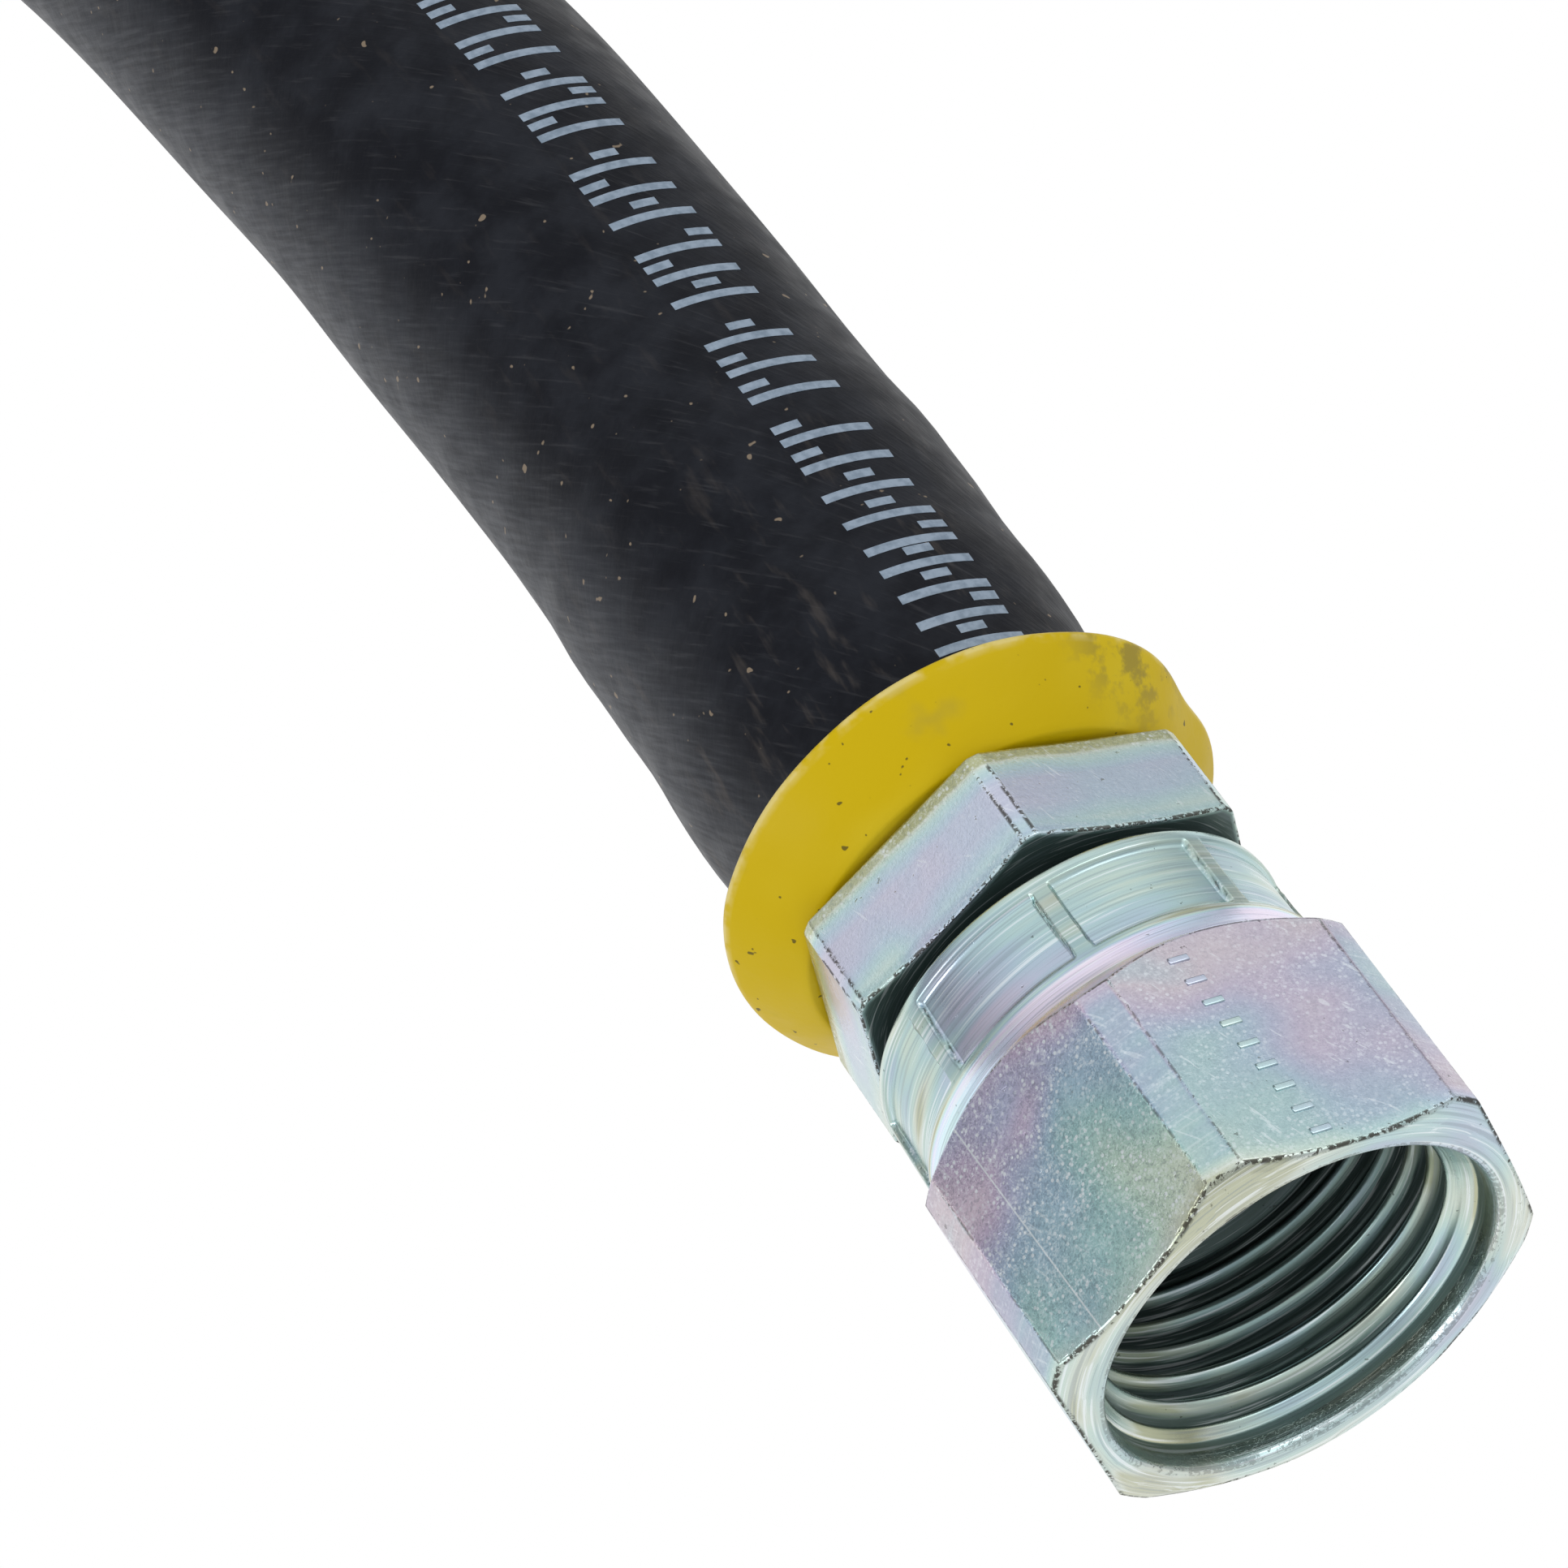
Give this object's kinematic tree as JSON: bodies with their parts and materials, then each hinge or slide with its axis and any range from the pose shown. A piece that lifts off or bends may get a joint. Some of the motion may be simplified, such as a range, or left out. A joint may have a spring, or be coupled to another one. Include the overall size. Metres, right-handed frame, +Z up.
{
  "type": "hydraulic hose assembly",
  "caption": "Push-on rubber hydraulic hose with a barbed stem, soft cap ring and female flared swivel nut at each end, laid in one wide bend.",
  "frame": {"origin": "middle of the near fitting (nut face to barb end), on the surface that the assembly lies on", "axes": "+Y along the near fitting's axis from its open mouth towards the hose, +Z up"},
  "size_m": [0.3064, 0.2455, 0.0256],
  "materials": {
    "plated_steel": "zinc plated with a clear iridescent passivation, machined",
    "yellow_plastic": "soft satin plastic with smudges",
    "cover_rubber": "black fabric-wrapped rubber cover, satin",
    "tube_rubber": "smooth black rubber",
    "textile_braid": "undyed braided yarn"
  },
  "bodies": {
    "hose_assembly": {"near_barbed_stem": "plated_steel", "near_cap_ring": "yellow_plastic", "hose_inner_tube": "tube_rubber", "hose_braid": "textile_braid", "hose_cover": "cover_rubber", "far_cap_ring": "yellow_plastic", "far_barbed_stem": "plated_steel"},
    "near_nut": {"near_swivel_nut": "plated_steel"},
    "far_nut": {"far_swivel_nut": "plated_steel"}
  },
  "joints": [
    {"name": "near_nut_swivel", "type": "hinge", "parent": "hose_assembly", "child": "near_nut", "pos_m": [0, -0.0165, 0.0128], "axis": [0, 1, 0], "continuous": true},
    {"name": "far_nut_swivel", "type": "hinge", "parent": "hose_assembly", "child": "far_nut", "pos_m": [-0.2808, 0.0043, 0.0128], "axis": [0, 1, 0], "continuous": true}
  ]
}
